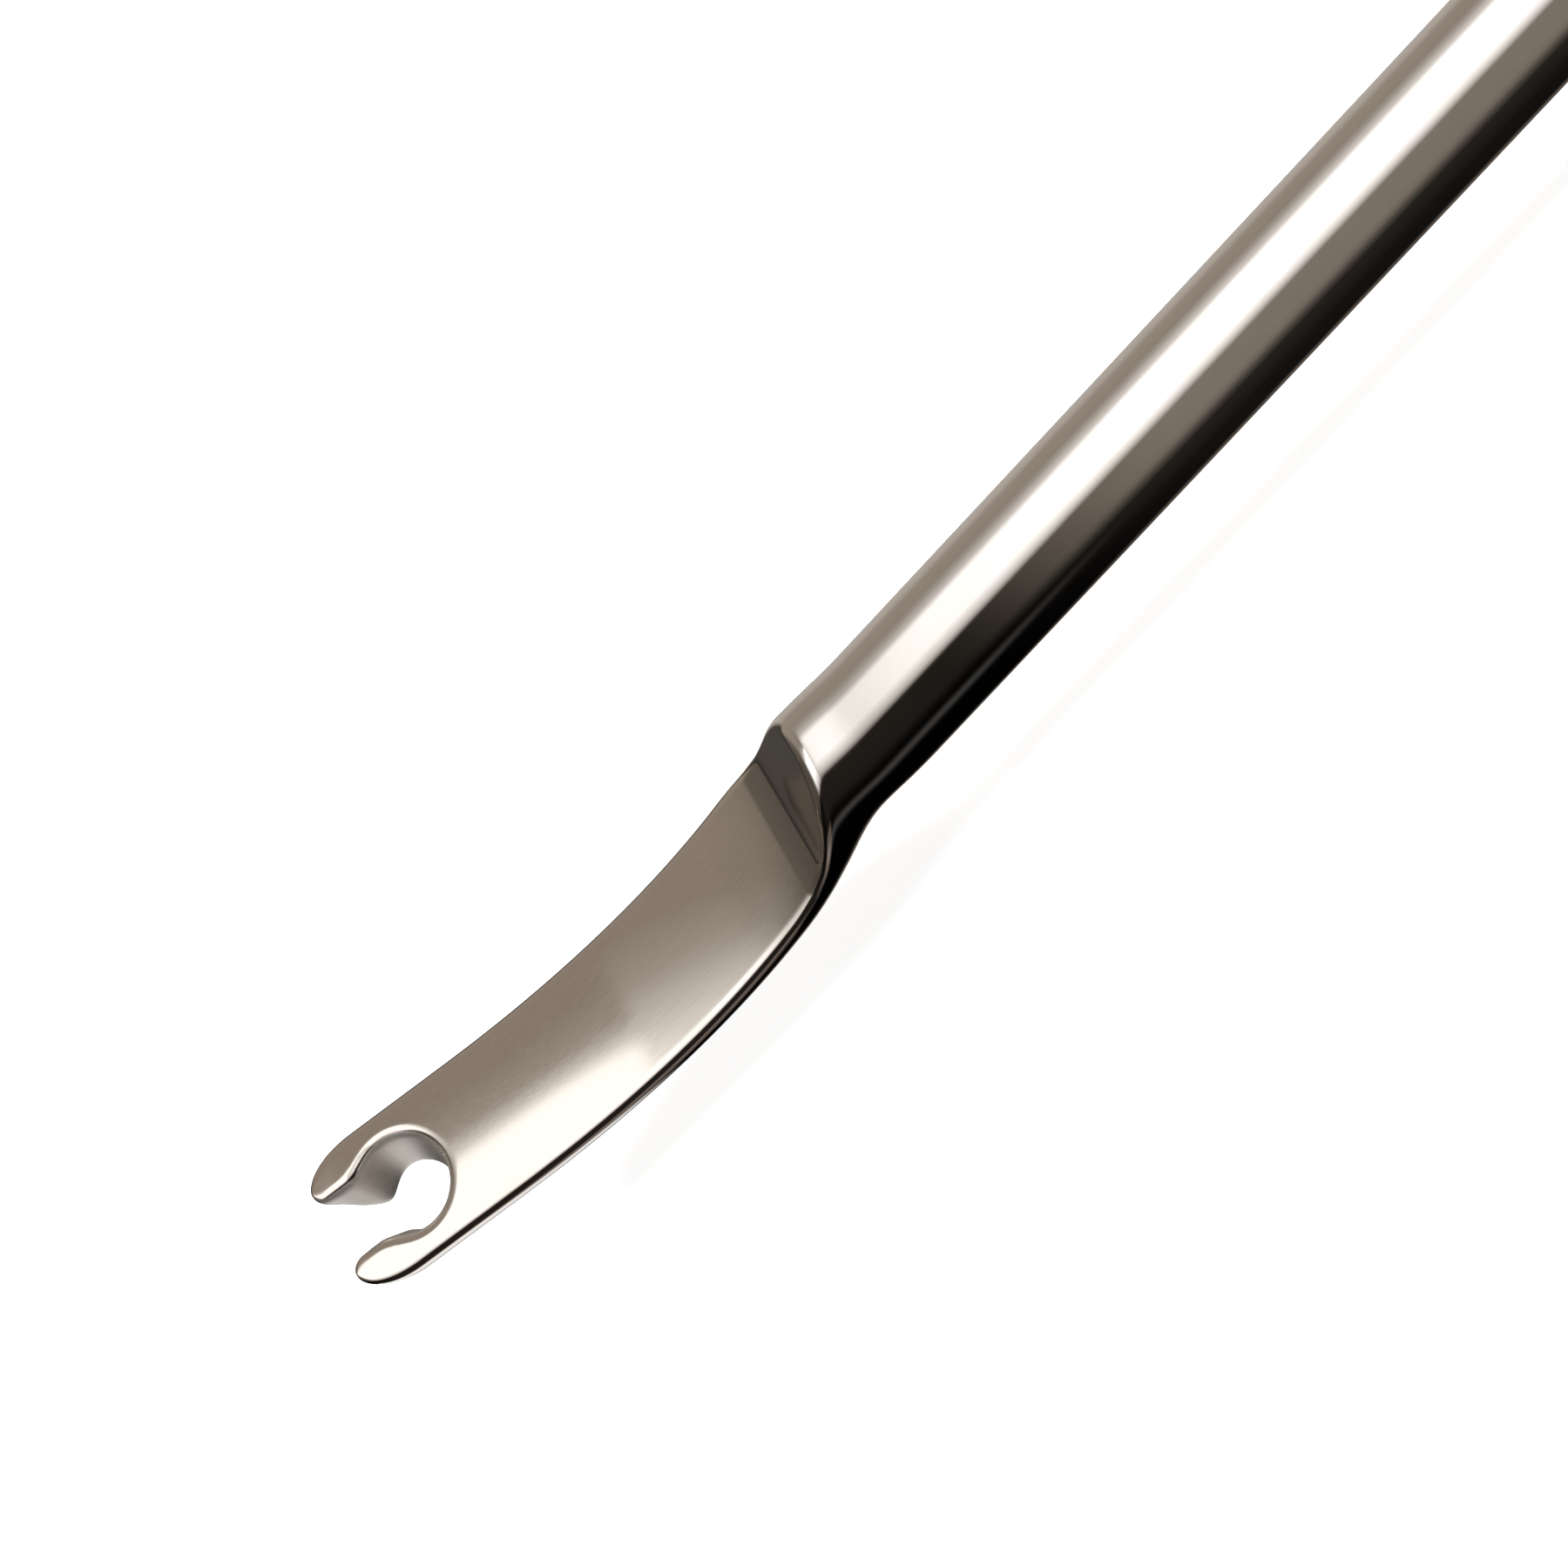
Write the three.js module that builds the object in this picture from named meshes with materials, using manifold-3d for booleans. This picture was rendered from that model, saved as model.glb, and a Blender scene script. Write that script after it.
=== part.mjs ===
// Fork spudger: a polished steel rod with a scooped, key-holed fork end, held in a collet handle.
// Units are millimetres. The tool lies along X with its fork towards +X, resting on a hex flat,
// +Z up. Everything is drawn on the rod's own axis, with X = 0 where the rod becomes the tongue,
// and the finished tool is then moved so that the origin is at the middle of its base.

import * as THREE from 'three'
import { mergeVertices } from 'three/addons/utils/BufferGeometryUtils.js'
import Module from 'manifold-3d'

const wasm = await Module()
wasm.setup()

// Driving dimensions. The rod's diameter sets the whole blade.
const ROD_D = 4.0
const HEX_FLATS = 11.0        // across the flats of the bar that the barrel is turned from
const FIT_GAP = 0.3           // clearance between neighbouring pieces
const THREAD_PITCH = 0.75     // pitch of the nut's thread
const AROUND = 32             // facets round a turned piece

// Blade: where the rod ends inside the handle, and the tongue's form in rod diameters.
const ROD_TAIL_X = -66.0
const ROD_TAIL_CHAMFER = 0.4
const TIP_X = 5.74 * ROD_D
const FACE_R = 6.02 * ROD_D           // the tongue's long hollow face, an arc and then straight
const FACE_LOW_X = 2.22 * ROD_D
const FACE_LOW_Z = -0.292 * ROD_D
const FACE_STRAIGHT_X = 4.4 * ROD_D
const RUNOUT_R = 0.85 * ROD_D         // the steep end of the face, up to the rod's crown
const RUNOUT_X = 0.22 * ROD_D
const SHOULDER_W = 0.594 * ROD_D      // half widths of the tongue
const TONGUE_W = 0.58 * ROD_D
const TIP_W = 0.36 * ROD_D
const ROUNDING_X = 5.2 * ROD_D        // where the prongs begin to round in
const EDGE_WALL = 0.15 * ROD_D        // upright edge between the face and the round belly
const EDGE_WALL_TIP = 0.08 * ROD_D
const BELLY = 0.33 * ROD_D
const BELLY_TIP = 0.14 * ROD_D
const HOLE_R = 0.405 * ROD_D
const HOLE_X = 5.05 * ROD_D
const NECK_W = 0.3 * ROD_D            // half width of the neck between hole and mouth
const MOUTH_AT = 1.2 * ROD_D
const BLADE_SIDES = 28
const BLADE_STEP = 0.22 * ROD_D

// Chuck: the nut, its thrust ring and the collet.
const ROD_BORE_R = ROD_D / 2 + FIT_GAP
const NUT_NOSE_X = -44.0
const NUT_REAR_X = -58.2
const NUT_R = 5.0
const NUT_NOSE_R = 3.3
const NUT_CHAMBER_R = 4.4
const NUT_THREAD_R = 4.2
const KNURL_TEETH = 36
const KNURL_DEPTH = 0.25
const KNURL_FRONT_X = -48.6
const KNURL_REAR_X = -57.4
const RING_FRONT_X = -46.6
const RING_REAR_X = -50.4
const RING_R = NUT_CHAMBER_R - FIT_GAP
const CONE_SMALL_R = 3.1              // the ring's inner cone, front and rear
const CONE_LARGE_R = 3.75
const COLLET_R = 2.9
const COLLET_HEAD_R = 3.4
const COLLET_FRONT_X = -47.0
const COLLET_REAR_X = -64.0
const COLLET_SLOT_W = 0.5
const COLLET_SLOT_END_X = -58.0
const COLLET_JAWS = 4

// Barrel: spigot, two hex collars and the round grip between them.
const SPIGOT_FRONT_X = -51.4
const SPIGOT_R = NUT_THREAD_R - FIT_GAP
const FRONT_COLLAR_X = -59.6
const COLLAR_LENGTH = 8.0
const REAR_COLLAR_X = -122.0
const BARREL_REAR_X = -138.0
const GRIP_R = 4.9
const GRIP_BORE_R = COLLET_R + FIT_GAP
const PLUG_BORE_R = 3.8
const PLUG_BORE_FRONT_X = -126.0
const COLLAR_CHAMFER = 0.9
const GROOVE_R = 4.2
const GROOVE_W = 2.6
const GRIP_RINGS = 6
const FIRST_RING_X = -73.0
const RING_SPACING = 6.0

// Rubber rings, stop screw and end plug.
const GRIP_RING_CROWN = 0.35
const O_RING_SECTION_R = 0.4
const STOP_FRONT_X = ROD_TAIL_X - 0.5
const STOP_LENGTH = 7.0
const STOP_SOCKET_FLATS = 2.5
const STOP_SOCKET_DEPTH = 3.5
const PLUG_R = PLUG_BORE_R - FIT_GAP
const PLUG_HEAD_R = 4.7
const PLUG_REAR_X = -144.5
const PLUG_FRONT_X = -128.0
const PLUG_GROOVE_X = -134.0
const PLUG_GROOVE_R = 2.6
const PLUG_GROOVE_W = 1.2
const PLUG_SLOT_W = 1.2
const PLUG_SLOT_DEPTH = 1.6

// ---- solids ----

function weld(geometry) {
  const bare = geometry.clone()
  bare.deleteAttribute('normal')
  bare.deleteAttribute('uv')
  return mergeVertices(bare, 1e-5)
}

// A closed three.js geometry as a solid that can be cut and joined.
function solid(geometry) {
  const welded = weld(geometry)
  const corners = welded.index.array
  const kept = []
  for (let i = 0; i < corners.length; i += 3) {
    const [a, b, c] = [corners[i], corners[i + 1], corners[i + 2]]
    if (a !== b && b !== c && c !== a) kept.push(a, b, c)
  }
  const vertProperties = new Float32Array(welded.attributes.position.array)
  const triVerts = new Uint32Array(kept)
  return new wasm.Manifold(new wasm.Mesh({ numProp: 3, vertProperties, triVerts }))
}

function surface(body) {
  const mesh = body.getMesh()
  const geometry = new THREE.BufferGeometry()
  geometry.setAttribute('position', new THREE.BufferAttribute(mesh.vertProperties, 3))
  geometry.setIndex(new THREE.BufferAttribute(mesh.triVerts, 1))
  return geometry
}

// A turned piece. The outline is a list of [x, radius]: along the outside towards +X, then back.
function turned(outline, sides = AROUND) {
  const points = outline.map(([x, r]) => new THREE.Vector2(r, x))
  points.push(points[0].clone())
  return solid(new THREE.LatheGeometry(points, sides).rotateZ(-Math.PI / 2))
}

// A prism along X with a regular section: hex bar, socket or toothed band.
function prism(section, fromX, toX) {
  const geometry = new THREE.ExtrudeGeometry(section, { depth: toX - fromX, bevelEnabled: false })
  geometry.rotateY(Math.PI / 2).translate(fromX, 0, 0)
  return solid(geometry)
}

// A hexagon with flats facing up and down once it lies along X.
function hexagon(flats) {
  const corner = flats / Math.sqrt(3)
  const points = []
  for (let i = 0; i < 6; i++) {
    const turn = Math.PI / 2 + i * Math.PI / 3
    points.push(new THREE.Vector2(corner * Math.cos(turn), corner * Math.sin(turn)))
  }
  return new THREE.Shape(points)
}

function box(sizeX, sizeY, sizeZ, x, y, z) {
  return solid(new THREE.BoxGeometry(sizeX, sizeY, sizeZ).translate(x, y, z))
}

// ---- blade ----

function smooth(from, to, x) {
  return THREE.MathUtils.smoothstep(x, from, to)
}

function mix(a, b, share) {
  return a + (b - a) * share
}

// Slope of the hollow face at x.
function faceSlope(x) {
  const offset = Math.min(x, FACE_STRAIGHT_X) - FACE_LOW_X
  return offset / Math.sqrt(FACE_R * FACE_R - offset * offset)
}

// Height of the hollow face, carried on under the run-out as well.
function faceZ(x) {
  const arcX = Math.min(x, FACE_STRAIGHT_X)
  const offset = arcX - FACE_LOW_X
  const arcZ = FACE_LOW_Z + FACE_R - Math.sqrt(FACE_R * FACE_R - offset * offset)
  return arcZ + (x - arcX) * faceSlope(x)
}

function halfWidth(x) {
  const shoulder = mix(ROD_D / 2, SHOULDER_W, smooth(0, ROD_D, x))
  const waist = mix(shoulder, TONGUE_W, smooth(ROD_D, 3 * ROD_D, x))
  if (x < ROUNDING_X) return waist
  const along = Math.min((x - ROUNDING_X) / (TIP_X - ROUNDING_X), 1)
  return TIP_W + (waist - TIP_W) * Math.sqrt(1 - along * along)
}

// A ring of points at x: a round crown, then the belly, let down by the height of the edge wall.
function section(x, width, widest, crown, wall, belly) {
  const half = BLADE_SIDES / 2
  const ring = []
  for (let i = 0; i <= half; i++) {
    const turn = Math.PI * i / half
    ring.push([x, width * Math.cos(turn), widest + crown * Math.sin(turn)])
  }
  for (let i = 0; i <= half; i++) {
    const turn = Math.PI * (1 + i / half)
    ring.push([x, width * Math.cos(turn), widest - wall + belly * Math.sin(turn)])
  }
  return ring
}

function rodSection(x, radius) {
  return section(x, radius, 0, radius, 0, radius)
}

// The forged blank, before its face is ground and its fork is cut.
function blankSection(x) {
  const sunk = smooth(-0.3 * ROD_D, 0.9 * ROD_D, x)
  const thinned = smooth(HOLE_X, TIP_X, x)
  const wall = mix(sunk * EDGE_WALL, EDGE_WALL_TIP, thinned)
  const belly = mix(mix(ROD_D / 2, BELLY, smooth(0, 1.2 * ROD_D, x)), BELLY_TIP, thinned)
  return section(x, halfWidth(x), sunk * faceZ(x), ROD_D / 2, wall, belly)
}

// Joins rings of equal length, given in order towards +X, into one closed skin.
function loft(rings) {
  const sides = rings[0].length
  const positions = rings.flat(2)
  const faces = []
  for (let k = 0; k + 1 < rings.length; k++) {
    for (let i = 0; i < sides; i++) {
      const [a, b] = [k * sides + i, k * sides + (i + 1) % sides]
      faces.push(a, b, b + sides, a, b + sides, a + sides)
    }
  }
  const last = (rings.length - 1) * sides
  for (let i = 1; i + 1 < sides; i++) {
    faces.push(0, i + 1, i)
    faces.push(last, last + i, last + i + 1)
  }
  const geometry = new THREE.BufferGeometry()
  geometry.setAttribute('position', new THREE.Float32BufferAttribute(positions, 3))
  geometry.setIndex(faces)
  return solid(geometry)
}

// The cutter that leaves the hollow face: two arcs and a straight, swept across the tongue.
function faceCutter() {
  const centreZ = FACE_LOW_Z + FACE_R
  const lean = Math.asin((FACE_LOW_X - RUNOUT_X) / FACE_R)
  const runoutX = RUNOUT_X + RUNOUT_R * Math.sin(lean)
  const runoutZ = faceZ(RUNOUT_X) + RUNOUT_R * Math.cos(lean)
  const meet = 1.5 * Math.PI - lean
  const end = 1.5 * Math.PI + Math.atan(faceSlope(FACE_STRAIGHT_X))
  const farX = TIP_X + ROD_D
  const highZ = 3 * ROD_D
  const shape = new THREE.Shape()
  shape.absarc(runoutX, runoutZ, RUNOUT_R, Math.PI, meet, false)
  shape.absarc(FACE_LOW_X, centreZ, FACE_R, meet, end, false)
  shape.lineTo(farX, faceZ(farX))
  shape.lineTo(farX, highZ)
  shape.lineTo(runoutX - RUNOUT_R, highZ)
  const width = 2 * ROD_D
  const geometry = new THREE.ExtrudeGeometry(shape, { depth: width, bevelEnabled: false, curveSegments: 16 })
  geometry.rotateX(Math.PI / 2).translate(0, width / 2, 0)
  return solid(geometry)
}

// The keyhole between the prongs, square to the face at the hole.
function keyhole() {
  const open = Math.asin(NECK_W / HOLE_R)
  const shape = new THREE.Shape()
  shape.absarc(0, 0, HOLE_R, open, 2 * Math.PI - open, false)
  shape.lineTo(MOUTH_AT, -NECK_W)
  shape.lineTo(MOUTH_AT, NECK_W)
  const depth = 2 * ROD_D
  const geometry = new THREE.ExtrudeGeometry(shape, { depth, bevelEnabled: false, curveSegments: 14 })
  geometry.translate(0, 0, -depth / 2).rotateY(-Math.atan(faceSlope(HOLE_X)))
  geometry.translate(HOLE_X, 0, faceZ(HOLE_X))
  return solid(geometry)
}

function forkBlade() {
  const rings = []
  rings.push(rodSection(ROD_TAIL_X, ROD_D / 2 - ROD_TAIL_CHAMFER))
  rings.push(rodSection(ROD_TAIL_X + ROD_TAIL_CHAMFER, ROD_D / 2))
  const steps = Math.round((TIP_X + 0.6 * ROD_D) / BLADE_STEP)
  for (let k = 0; k <= steps; k++) {
    rings.push(blankSection(mix(-0.6 * ROD_D, TIP_X, k / steps)))
  }
  return loft(rings).subtract(faceCutter()).subtract(keyhole())
}

// ---- chuck ----

function knurledBand() {
  const points = []
  for (let i = 0; i < 2 * KNURL_TEETH; i++) {
    const turn = Math.PI * i / KNURL_TEETH
    const radius = i % 2 ? NUT_R : NUT_R - KNURL_DEPTH
    points.push(new THREE.Vector2(radius * Math.cos(turn), radius * Math.sin(turn)))
  }
  return prism(new THREE.Shape(points), KNURL_REAR_X, KNURL_FRONT_X)
}

function chuckNut() {
  const neck = NUT_R - 1.2 * KNURL_DEPTH
  const rim = 0.5
  const body = turned([
    [NUT_REAR_X, NUT_THREAD_R],
    [NUT_REAR_X, neck - rim],
    [NUT_REAR_X + rim, neck],
    [KNURL_FRONT_X + rim, neck],
    [NUT_NOSE_X - rim, NUT_NOSE_R],
    [NUT_NOSE_X, NUT_NOSE_R - rim],
    [NUT_NOSE_X, ROD_BORE_R],
    [RING_FRONT_X + FIT_GAP, ROD_BORE_R],
    [RING_FRONT_X + FIT_GAP, NUT_THREAD_R - 0.5],
    [RING_FRONT_X - 0.5, NUT_CHAMBER_R],
    [RING_REAR_X - FIT_GAP, NUT_CHAMBER_R],
    [RING_REAR_X - 2 * FIT_GAP, NUT_THREAD_R],
  ])
  const bore = turned([
    [NUT_REAR_X - 1, 0],
    [NUT_REAR_X - 1, NUT_THREAD_R],
    [KNURL_FRONT_X - 1, NUT_THREAD_R],
    [KNURL_FRONT_X - 1, NUT_CHAMBER_R],
    [KNURL_FRONT_X + 1, NUT_CHAMBER_R],
    [KNURL_FRONT_X + 1, 0],
  ])
  return body.add(knurledBand().subtract(bore))
}

function thrustRing() {
  const corner = 0.7
  return turned([
    [RING_REAR_X, CONE_LARGE_R],
    [RING_REAR_X, RING_R],
    [RING_FRONT_X - corner - FIT_GAP, RING_R],
    [RING_FRONT_X, RING_R - corner],
    [RING_FRONT_X, CONE_SMALL_R],
  ])
}

function collet() {
  const body = turned([
    [COLLET_REAR_X, ROD_BORE_R],
    [COLLET_REAR_X, COLLET_R],
    [RING_REAR_X - 1.2, COLLET_R],
    [RING_REAR_X, COLLET_HEAD_R],
    [COLLET_FRONT_X, CONE_SMALL_R - FIT_GAP],
    [COLLET_FRONT_X, ROD_BORE_R],
  ])
  const slotLength = COLLET_FRONT_X - COLLET_SLOT_END_X + 1
  const slotX = COLLET_SLOT_END_X + slotLength / 2
  const across = box(slotLength, 3 * COLLET_R, COLLET_SLOT_W, slotX, 0, 0)
  let split = body
  for (let jaw = 0; jaw < COLLET_JAWS / 2; jaw++) {
    split = split.subtract(across.rotate([90 * jaw, 0, 0]))
  }
  return split
}

// ---- barrel ----

function barrelOutline() {
  const collarEnd = FRONT_COLLAR_X - COLLAR_LENGTH
  const outline = [
    [BARREL_REAR_X, PLUG_BORE_R],
    [BARREL_REAR_X, PLUG_HEAD_R - FIT_GAP],
    [BARREL_REAR_X + 1, PLUG_HEAD_R],
    [REAR_COLLAR_X - COLLAR_LENGTH, GRIP_R],
  ]
  for (let k = GRIP_RINGS - 1; k >= 0; k--) {
    const middle = FIRST_RING_X - k * RING_SPACING
    outline.push([middle - GROOVE_W / 2, GRIP_R], [middle - GROOVE_W / 2, GROOVE_R])
    outline.push([middle + GROOVE_W / 2, GROOVE_R], [middle + GROOVE_W / 2, GRIP_R])
  }
  outline.push([collarEnd + 1, GRIP_R], [FRONT_COLLAR_X, GRIP_R], [FRONT_COLLAR_X, SPIGOT_R])
  outline.push([SPIGOT_FRONT_X - 0.4, SPIGOT_R], [SPIGOT_FRONT_X, SPIGOT_R - 0.4])
  outline.push([SPIGOT_FRONT_X, GRIP_BORE_R])
  outline.push([PLUG_BORE_FRONT_X, GRIP_BORE_R], [PLUG_BORE_FRONT_X, PLUG_BORE_R])
  return outline
}

// A hex collar with its corners turned off at both ends, and room for the barrel inside it.
function hexCollar(frontX) {
  const rearX = frontX - COLLAR_LENGTH
  const corner = HEX_FLATS / Math.sqrt(3)
  const turnedOff = turned([
    [rearX, 0],
    [rearX, corner - COLLAR_CHAMFER],
    [rearX + COLLAR_CHAMFER, corner],
    [frontX - COLLAR_CHAMFER, corner],
    [frontX, corner - COLLAR_CHAMFER],
    [frontX, 0],
  ])
  const core = turned([
    [rearX - 1, 0],
    [rearX - 1, GRIP_R - FIT_GAP],
    [frontX + 1, GRIP_R - FIT_GAP],
    [frontX + 1, 0],
  ])
  return prism(hexagon(HEX_FLATS), rearX, frontX).intersect(turnedOff).subtract(core)
}

function barrel() {
  return turned(barrelOutline()).add(hexCollar(FRONT_COLLAR_X)).add(hexCollar(REAR_COLLAR_X))
}

// ---- small pieces ----

function rubberRing(middleX, centreR, sectionR) {
  const geometry = new THREE.TorusGeometry(centreR, sectionR, 8, AROUND)
  return solid(geometry.rotateY(Math.PI / 2).translate(middleX, 0, 0))
}

// A grip ring: flat inside, crowned outside, standing a little proud of the grip.
function gripRing(middleX) {
  const inner = GROOVE_R + FIT_GAP
  const half = GROOVE_W / 2 - FIT_GAP
  const shoulder = GRIP_R - 0.1
  return turned([
    [middleX - half, inner],
    [middleX - half, shoulder],
    [middleX - half / 2, shoulder + GRIP_RING_CROWN],
    [middleX + half / 2, shoulder + GRIP_RING_CROWN],
    [middleX + half, shoulder],
    [middleX + half, inner],
  ])
}

function stopScrew() {
  const radius = GRIP_BORE_R - FIT_GAP
  const rearX = STOP_FRONT_X - STOP_LENGTH
  const body = turned([
    [rearX, 0],
    [rearX, radius - 0.4],
    [rearX + 0.4, radius],
    [STOP_FRONT_X - 0.6, radius],
    [STOP_FRONT_X, radius - 0.6],
    [STOP_FRONT_X, 0],
  ])
  return body.subtract(prism(hexagon(STOP_SOCKET_FLATS), rearX - 1, rearX + STOP_SOCKET_DEPTH))
}

function endPlug() {
  const headX = BARREL_REAR_X - FIT_GAP
  const grooveRear = PLUG_GROOVE_X - PLUG_GROOVE_W / 2
  const grooveFront = PLUG_GROOVE_X + PLUG_GROOVE_W / 2
  const body = turned([
    [PLUG_REAR_X, 0],
    [PLUG_REAR_X, 0.55 * PLUG_HEAD_R],
    [PLUG_REAR_X + 0.7, 0.8 * PLUG_HEAD_R],
    [PLUG_REAR_X + 2.2, PLUG_HEAD_R],
    [headX - 0.4, PLUG_HEAD_R],
    [headX, PLUG_HEAD_R - 0.4],
    [headX, PLUG_R],
    [grooveRear, PLUG_R],
    [grooveRear, PLUG_GROOVE_R],
    [grooveFront, PLUG_GROOVE_R],
    [grooveFront, PLUG_R],
    [PLUG_FRONT_X - 0.5, PLUG_R],
    [PLUG_FRONT_X, PLUG_R - 0.5],
    [PLUG_FRONT_X, 0],
  ])
  const slot = box(2 * PLUG_SLOT_DEPTH, 3 * PLUG_HEAD_R, PLUG_SLOT_W, PLUG_REAR_X, 0, 0)
  return body.subtract(slot)
}

// ---- assembly ----

const tool = new THREE.Group()

function addPiece(name, body, colour, roughness, metalness) {
  const material = new THREE.MeshStandardMaterial({ color: colour, roughness, metalness })
  const mesh = new THREE.Mesh(surface(body), material)
  mesh.name = name
  tool.add(mesh)
}

addPiece('fork_blade', forkBlade(), 0xcdc8c2, 0.12, 1.0)
addPiece('chuck_nut', chuckNut(), 0xb9b6b2, 0.25, 1.0)
addPiece('thrust_ring', thrustRing(), 0x8f9092, 0.3, 1.0)
addPiece('collet', collet(), 0xc9a25a, 0.3, 1.0)
addPiece('barrel', barrel(), 0x3d4247, 0.4, 1.0)
const nutRingX = FRONT_COLLAR_X + FIT_GAP + O_RING_SECTION_R
const nutRingR = SPIGOT_R + FIT_GAP + O_RING_SECTION_R
addPiece('nut_o_ring', rubberRing(nutRingX, nutRingR, O_RING_SECTION_R), 0x1b1b1c, 0.7, 0.0)
for (let k = 0; k < GRIP_RINGS; k++) {
  addPiece(`grip_ring_${k + 1}`, gripRing(FIRST_RING_X - k * RING_SPACING), 0x202022, 0.75, 0.0)
}
addPiece('stop_screw', stopScrew(), 0x2c2b2a, 0.5, 1.0)
addPiece('end_plug', endPlug(), 0xb9b6b2, 0.3, 1.0)
const plugRingSection = (PLUG_BORE_R - PLUG_GROOVE_R - 2 * FIT_GAP) / 2
const plugRingR = (PLUG_BORE_R + PLUG_GROOVE_R) / 2
addPiece('plug_o_ring', rubberRing(PLUG_GROOVE_X, plugRingR, plugRingSection), 0x1b1b1c, 0.7, 0.0)

// The origin goes to the middle of the tool's length, on the flat that it rests on.
tool.position.set(-(TIP_X + PLUG_REAR_X) / 2, 0, HEX_FLATS / 2)
const group = new THREE.Group()
group.add(tool)

export default group
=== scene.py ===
"""Fork spudger in a collet handle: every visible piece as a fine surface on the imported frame.

Each turned piece is an outline carried round the tool's axis, and the blade is a set of sections
carried along its own bent centre line. Lengths in the tables are millimetres from the point where the
rod becomes the tongue (x) and from the tool's axis (r); the meshes are in metres.
"""
import math

import bmesh
import bpy
import numpy as np
from mathutils import Matrix, Vector


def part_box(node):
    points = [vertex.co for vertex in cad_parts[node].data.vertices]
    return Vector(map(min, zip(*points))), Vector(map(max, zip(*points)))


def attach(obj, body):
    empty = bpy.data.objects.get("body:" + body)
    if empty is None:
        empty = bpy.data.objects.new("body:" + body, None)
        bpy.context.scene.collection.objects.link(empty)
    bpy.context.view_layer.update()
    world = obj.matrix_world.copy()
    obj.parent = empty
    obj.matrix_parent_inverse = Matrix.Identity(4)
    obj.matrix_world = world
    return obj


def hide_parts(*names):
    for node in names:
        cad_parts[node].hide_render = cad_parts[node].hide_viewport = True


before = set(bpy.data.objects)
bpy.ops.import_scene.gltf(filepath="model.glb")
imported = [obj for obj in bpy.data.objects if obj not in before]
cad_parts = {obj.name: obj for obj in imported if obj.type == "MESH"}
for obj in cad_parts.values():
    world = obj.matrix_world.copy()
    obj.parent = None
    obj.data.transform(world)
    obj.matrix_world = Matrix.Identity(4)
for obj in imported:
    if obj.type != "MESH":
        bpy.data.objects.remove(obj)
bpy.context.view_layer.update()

MM = 0.001

# ---- places, from the frame ----
ROD_D = 4.0
TIP_X = 5.74 * ROD_D
TIP_LEAN = 0.09
HEX_FLATS = 11.0
blade_low, blade_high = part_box("fork_blade")
nut_low, nut_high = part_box("chuck_nut")
START = np.array([blade_high[0] - TIP_X * MM, 0.0, (nut_low[2] + nut_high[2]) / 2])


def from_frame(value_m):
    """A place along the tool in the frame, in millimetres from the start of the tongue."""
    return (value_m - START[0]) / MM


# ---- numpy surfaces ----
def smooth(low, high, x):
    """0 below low, 1 above high, and the cubic 3t^2 - 2t^3 between them."""
    t = np.clip((x - low) / (high - low), 0, 1)
    return t * t * (3 - 2 * t)


def mix(a, b, share):
    return a + (b - a) * share


def crowd_ends(count, strength=0.8):
    """Numbers from 0 to 1 that lie closer together at both ends: t - k sin(2 pi t) / 2 pi."""
    t = np.linspace(0, 1, count)
    return t - strength * np.sin(2 * np.pi * t) / (2 * np.pi)


def quads(rows, columns, first=0, close_rows=False, close_columns=False):
    """Corner numbers of every quad of a grid, joined end to end where it closes on itself."""
    i = np.arange(rows if close_rows else rows - 1)[:, None]
    j = np.arange(columns if close_columns else columns - 1)[None, :]
    i2, j2 = (i + 1) % rows, (j + 1) % columns
    corners = [i * columns + j, i2 * columns + j, i2 * columns + j2, i * columns + j2]
    return first + np.stack(np.broadcast_arrays(*corners), axis=-1).reshape(-1, 4)


def make_piece(name, points_mm, faces, node, body, material, marks=None):
    """A closed mesh object from whole arrays: doubled points are joined and the faces turned out.

    points_mm is measured from the start of the tongue on the tool's axis. marks holds one number for
    each point, kept as the attribute "ground"."""
    mesh = bpy.data.meshes.new(name)
    mesh.from_pydata(points_mm * MM + START, [], faces)
    if marks is not None:
        ground = mesh.attributes.new("ground", "FLOAT", "POINT")
        ground.data.foreach_set("value", marks.astype(np.float32))
    surface = bmesh.new()
    surface.from_mesh(mesh)
    bmesh.ops.remove_doubles(surface, verts=surface.verts, dist=3e-7)
    bmesh.ops.dissolve_degenerate(surface, edges=surface.edges, dist=1e-8)
    bmesh.ops.recalc_face_normals(surface, faces=surface.faces)
    surface.to_mesh(mesh)
    surface.free()
    mesh.shade_smooth()
    mesh.materials.append(material)
    piece = bpy.data.objects.new(name, mesh)
    bpy.context.scene.collection.objects.link(piece)
    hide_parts(node)
    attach(piece, body)
    return piece


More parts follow.
